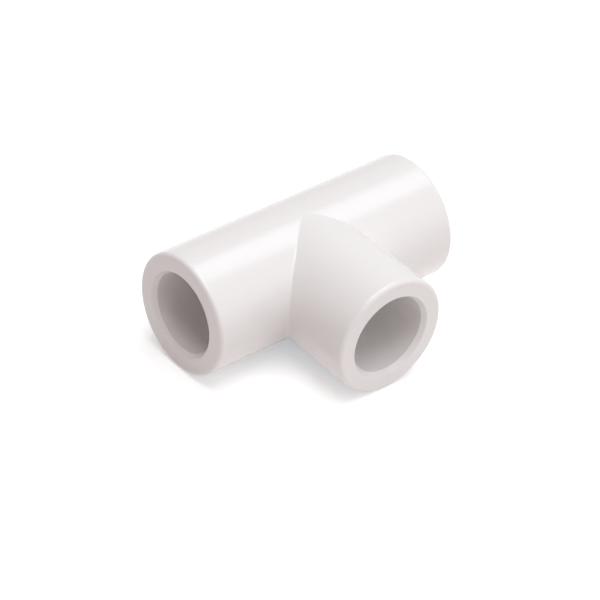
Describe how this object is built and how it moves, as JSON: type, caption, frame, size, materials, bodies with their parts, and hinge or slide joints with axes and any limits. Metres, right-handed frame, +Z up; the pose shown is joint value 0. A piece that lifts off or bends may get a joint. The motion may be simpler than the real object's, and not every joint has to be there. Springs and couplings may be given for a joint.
{
  "type": "conduit tee",
  "caption": "White moulded tee that joins rigid conduits at a right angle: a straight run with a branch, and a push-in socket with a stop ledge at each end.",
  "frame": {"origin": "where the axis of the run meets the axis of the branch", "axes": "+X along the run, -Y out of the branch, +Z up from the surface that the barrels rest on"},
  "size_m": [0.0704, 0.0496, 0.0306],
  "materials": {
    "white_plastic": "smooth moulded white plastic with a soft gloss"
  },
  "bodies": {
    "root": {"tee_body": "white_plastic"}
  },
  "joints": []
}
